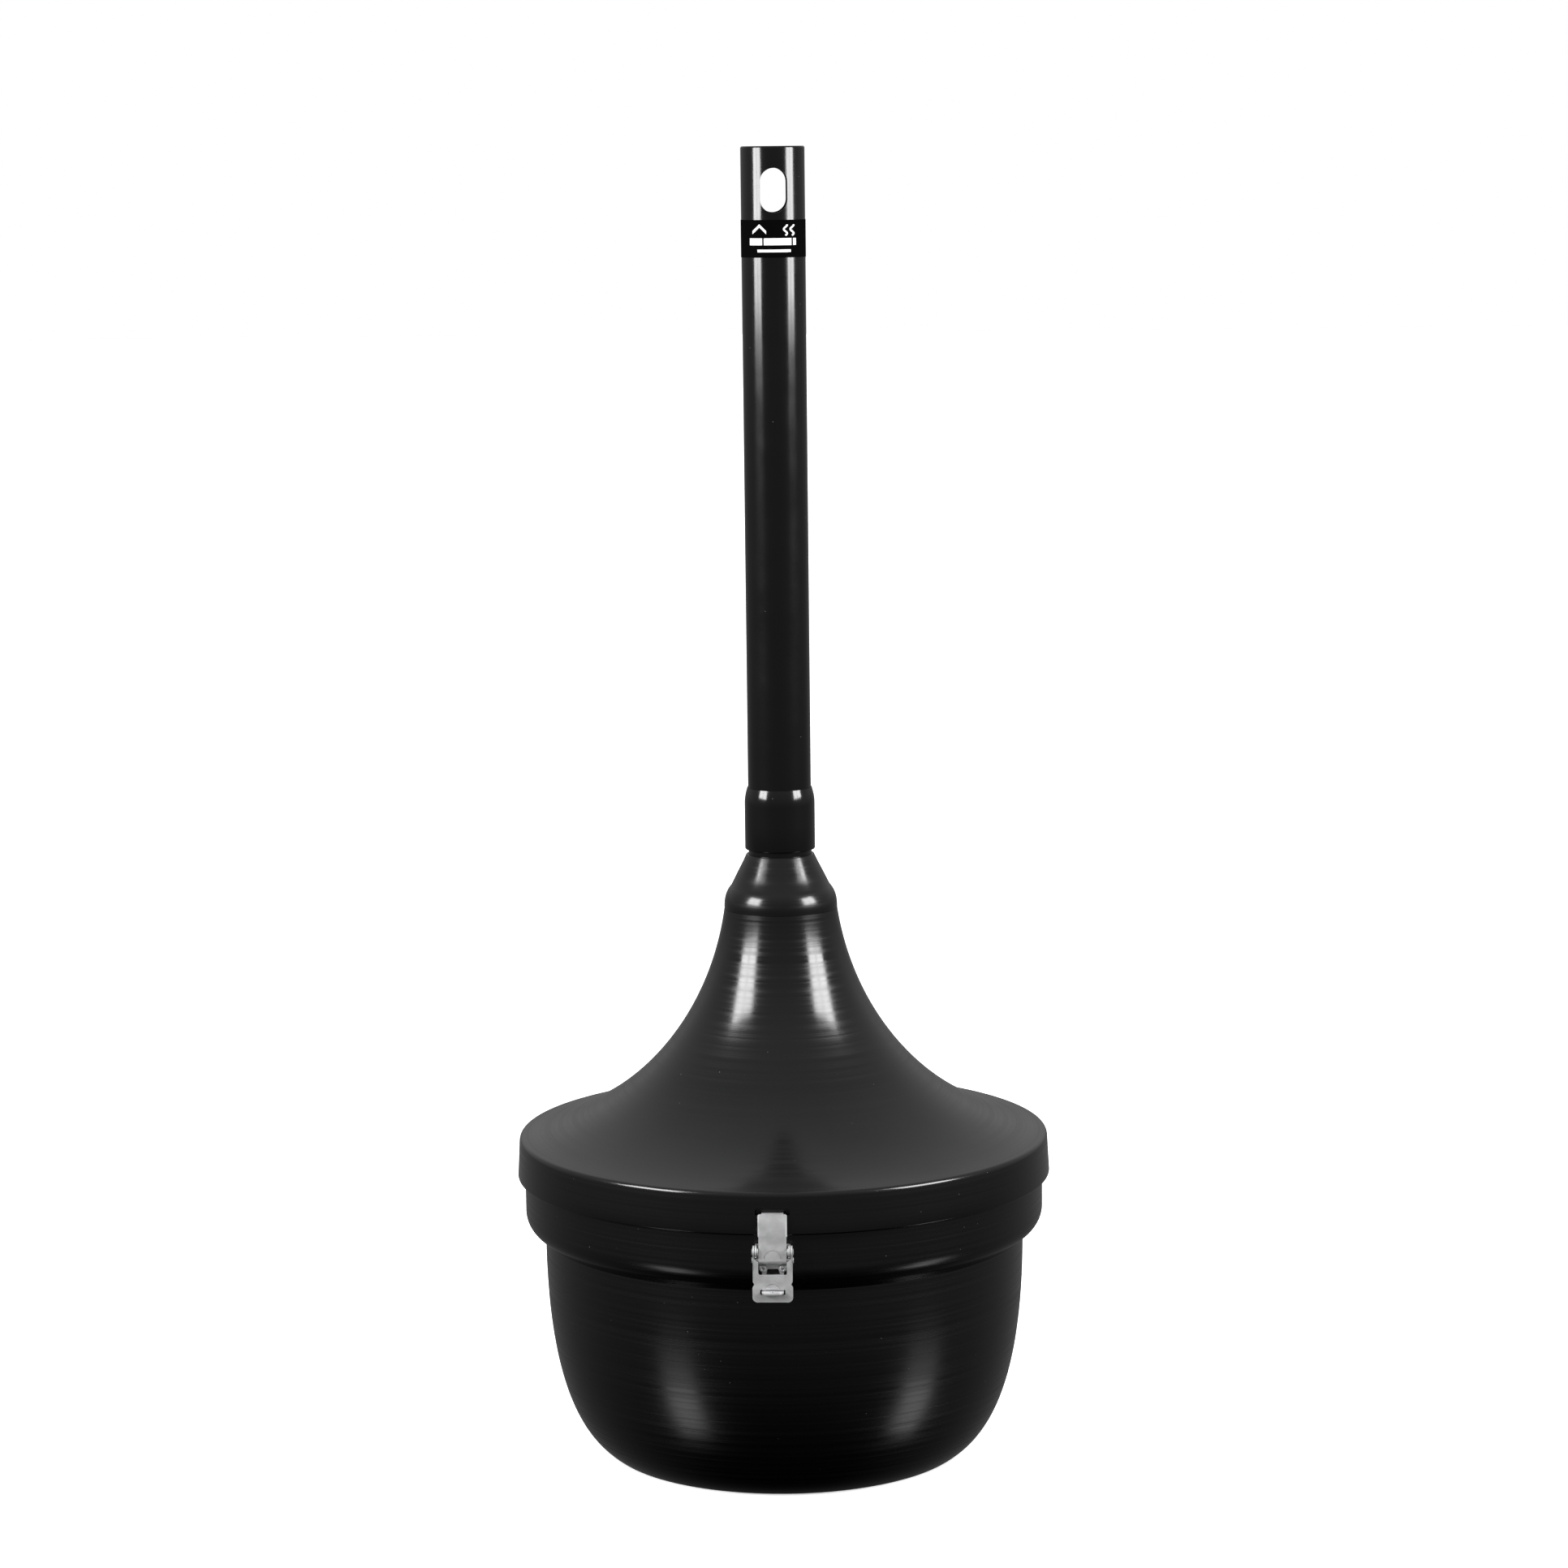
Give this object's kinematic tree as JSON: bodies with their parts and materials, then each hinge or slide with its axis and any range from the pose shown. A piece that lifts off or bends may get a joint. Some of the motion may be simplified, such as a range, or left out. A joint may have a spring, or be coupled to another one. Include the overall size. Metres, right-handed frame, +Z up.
{
  "type": "ashtray bin",
  "caption": "Free-standing outdoor ashtray bin: spun bowl with an inner pail, latched bell-shaped lid and a tall intake tube with an oblong through-opening near its closed top.",
  "frame": {"origin": "middle of the bowl's underside, on the floor", "axes": "+Z up along the intake tube; -Y towards the front latch; +X to the right seen from the front"},
  "size_m": [0.4118, 0.4314, 1.0034],
  "materials": {
    "paint": "gloss black powder coat over spun metal",
    "zinc": "satin zinc-plated pressed steel",
    "galvanised": "dull galvanised steel",
    "iron": "matt black",
    "label": "black printed vinyl",
    "grip": "moulded"
  },
  "bodies": {
    "base": {"bowl_shell": "paint", "ballast_disc": "iron", "ballast_bolt": "zinc", "ballast_nut": "zinc", "front_latch_base": "zinc", "front_rivet_left": "zinc", "front_rivet_right": "zinc", "front_pivot_left": "zinc", "front_pivot_right": "zinc", "rear_latch_base": "zinc", "rear_rivet_left": "zinc", "rear_rivet_right": "zinc", "rear_pivot_left": "zinc", "rear_pivot_right": "zinc"},
    "lid": {"lid_bell": "paint", "neck_reducer": "paint", "neck_nipple": "paint", "tube_coupling": "paint", "intake_tube": "paint", "tube_cap": "paint", "tube_label": "label"},
    "front_latch_lever": {"front_lever": "zinc", "front_hook_pin": "zinc"},
    "front_latch_hook": {"front_hook": "zinc"},
    "rear_latch_lever": {"rear_lever": "zinc", "rear_hook_pin": "zinc"},
    "rear_latch_hook": {"rear_hook": "zinc"},
    "pail": {"pail_shell": "galvanised", "pail_ear_left": "galvanised", "pail_ear_right": "galvanised", "ear_rivet_left_a": "galvanised", "ear_rivet_left_b": "galvanised", "ear_rivet_right_a": "galvanised", "ear_rivet_right_b": "galvanised"},
    "bail": {"bail_wire": "galvanised", "bail_grip": "grip"}
  },
  "joints": [
    {"name": "lid_lift", "type": "slide", "parent": "base", "child": "lid", "axis": [0, 0, 1], "range_m": [0, 0.5]},
    {"name": "front_lever_turn", "type": "hinge", "parent": "base", "child": "front_latch_lever", "pos_m": [0, -0.207, 0.2052], "axis": [-1, 0, 0], "range_deg": [0, 110]},
    {"name": "front_hook_turn", "type": "hinge", "parent": "front_latch_lever", "child": "front_latch_hook", "pos_m": [0, -0.20565, 0.1986], "axis": [-1, 0, 0], "range_deg": [-138, 0]},
    {"name": "rear_lever_turn", "type": "hinge", "parent": "base", "child": "rear_latch_lever", "pos_m": [0, 0.207, 0.2052], "axis": [1, 0, 0], "range_deg": [0, 110]},
    {"name": "rear_hook_turn", "type": "hinge", "parent": "rear_latch_lever", "child": "rear_latch_hook", "pos_m": [0, 0.20565, 0.1986], "axis": [1, 0, 0], "range_deg": [-138, 0]},
    {"name": "pail_lift", "type": "slide", "parent": "base", "child": "pail", "axis": [0, 0, 1], "range_m": [0, 0.25]},
    {"name": "bail_turn", "type": "hinge", "parent": "pail", "child": "bail", "pos_m": [0, 0, 0.212], "axis": [-1, 0, 0], "range_deg": [0, 102.1]}
  ],
  "couplings": [
    {"joint": "front_hook_turn", "follows": "front_lever_turn", "ratio": -1.25},
    {"joint": "rear_hook_turn", "follows": "rear_lever_turn", "ratio": -1.25},
    {"joint": "pail_lift", "follows": "lid_lift", "ratio": 0.5},
    {"joint": "bail_turn", "follows": "lid_lift", "rad_per_m": 3.56}
  ]
}
